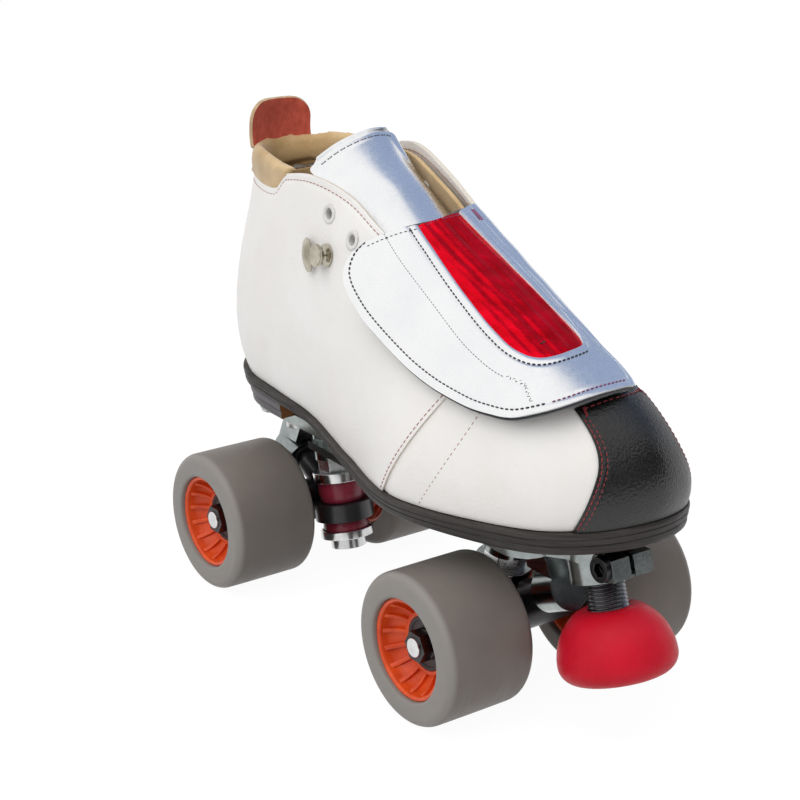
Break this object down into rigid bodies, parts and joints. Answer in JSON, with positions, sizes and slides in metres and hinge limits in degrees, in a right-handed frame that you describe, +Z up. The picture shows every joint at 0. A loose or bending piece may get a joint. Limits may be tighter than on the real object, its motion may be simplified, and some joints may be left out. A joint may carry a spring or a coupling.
{
  "type": "quad roller skate",
  "caption": "Leather ankle boot with a hinged lace cover on an aluminium plate, with sprung steering trucks, bearing wheels and a height-adjustable toe stop.",
  "frame": {"origin": "on the floor under the middle of the skate's bounding box", "axes": "+X to the toe, +Y to the wearer's left, +Z up"},
  "size_m": [0.2758, 0.125, 0.211],
  "materials": {
    "sole_edge": "dark layered sole edge",
    "heel_leather": "stacked leather, dyed edge",
    "footbed": "tan leather board",
    "white_leather": "smooth off-white leather",
    "black_leather": "grained black leather",
    "tan_lining": "soft tan lining leather",
    "silver_foil": "silver foil leather",
    "red_foil": "crinkled red foil leather",
    "brown_leather": "red-brown strap leather",
    "fastener_pad": "hook and loop fastener",
    "eyelet_metal": "plated steel",
    "plate_metal": "polished cast aluminium",
    "steel": "turned and plated steel",
    "bright_steel": "bright plated steel",
    "dark_steel": "blackened steel",
    "black_paint": "black paint",
    "cushion_rubber": "burgundy urethane",
    "stop_rubber": "red rubber",
    "black_plastic": "black nylon",
    "tyre_urethane": "warm grey urethane",
    "core_nylon": "orange moulded nylon"
  },
  "bodies": {
    "boot": {"outsole": "sole_edge", "heel_stack": "heel_leather", "insole": "footbed", "vamp": "white_leather", "lateral_quarter": "white_leather", "medial_quarter": "white_leather", "toe_cap": "black_leather", "lining": "tan_lining", "collar_pad": "tan_lining", "tongue": "silver_foil", "pull_tab": "brown_leather", "eyelets": "eyelet_metal", "lace_hooks": "eyelet_metal", "cover_anchor": "silver_foil", "loop_patch": "fastener_pad", "plate": "plate_metal", "plate_bolts": "steel", "plate_nuts": "steel", "kingpins": "steel", "kingpin_nuts": "steel", "front_upper_cushion": "cushion_rubber", "front_lower_cushion": "cushion_rubber", "rear_upper_cushion": "cushion_rubber", "rear_lower_cushion": "cushion_rubber", "cushion_retainers": "bright_steel", "pivot_cups": "black_plastic", "clamp_bolt": "dark_steel"},
    "toe_stop": {"toe_stop_rubber": "stop_rubber", "toe_stop_stem": "steel"},
    "lace_cover": {"lace_cover": "silver_foil", "cover_window": "red_foil", "hook_patch": "fastener_pad"},
    "front_truck": {"front_hanger": "black_paint", "front_axle": "steel", "front_axle_nuts": "bright_steel", "front_inner_rings": "steel", "front_sleeves": "steel"},
    "rear_truck": {"rear_hanger": "black_paint", "rear_axle": "steel", "rear_axle_nuts": "bright_steel", "rear_inner_rings": "steel", "rear_sleeves": "steel"},
    "front_right_wheel": {"front_right_tyre": "tyre_urethane", "front_right_core": "core_nylon", "front_right_outer_rings": "dark_steel", "front_right_balls": "steel"},
    "front_left_wheel": {"front_left_tyre": "tyre_urethane", "front_left_core": "core_nylon", "front_left_outer_rings": "dark_steel", "front_left_balls": "steel"},
    "rear_right_wheel": {"rear_right_tyre": "tyre_urethane", "rear_right_core": "core_nylon", "rear_right_outer_rings": "dark_steel", "rear_right_balls": "steel"},
    "rear_left_wheel": {"rear_left_tyre": "tyre_urethane", "rear_left_core": "core_nylon", "rear_left_outer_rings": "dark_steel", "rear_left_balls": "steel"}
  },
  "joints": [
    {"name": "front_steer", "type": "hinge", "parent": "boot", "child": "front_truck", "pos_m": [0.0424, 0, 0.0295], "axis": [0.9063, 0, 0.4226], "range_deg": [-8, 8], "stiffness_Nm_per_rad": 25, "deforming": ["front_upper_cushion", "front_lower_cushion"]},
    {"name": "rear_steer", "type": "hinge", "parent": "boot", "child": "rear_truck", "pos_m": [-0.0706, 0, 0.0295], "axis": [-0.9063, 0, 0.4226], "range_deg": [-8, 8], "stiffness_Nm_per_rad": 25, "deforming": ["rear_upper_cushion", "rear_lower_cushion"]},
    {"name": "front_right_spin", "type": "hinge", "parent": "front_truck", "child": "front_right_wheel", "pos_m": [0.0624, -0.042, 0.031], "axis": [0, 1, 0], "continuous": true},
    {"name": "front_left_spin", "type": "hinge", "parent": "front_truck", "child": "front_left_wheel", "pos_m": [0.0624, 0.042, 0.031], "axis": [0, 1, 0], "continuous": true},
    {"name": "rear_right_spin", "type": "hinge", "parent": "rear_truck", "child": "rear_right_wheel", "pos_m": [-0.0906, -0.042, 0.031], "axis": [0, 1, 0], "continuous": true},
    {"name": "rear_left_spin", "type": "hinge", "parent": "rear_truck", "child": "rear_left_wheel", "pos_m": [-0.0906, 0.042, 0.031], "axis": [0, 1, 0], "continuous": true},
    {"name": "toe_stop_height", "type": "slide", "parent": "boot", "child": "toe_stop", "axis": [0.309, 0, -0.9511], "range_m": [-0.001, 0.008]},
    {"name": "lace_cover_open", "type": "hinge", "parent": "boot", "child": "lace_cover", "pos_m": [0.00369, 0.0147, 0.18858], "axis": [-0.8944, 0, 0.4472], "range_deg": [0, 110]}
  ]
}
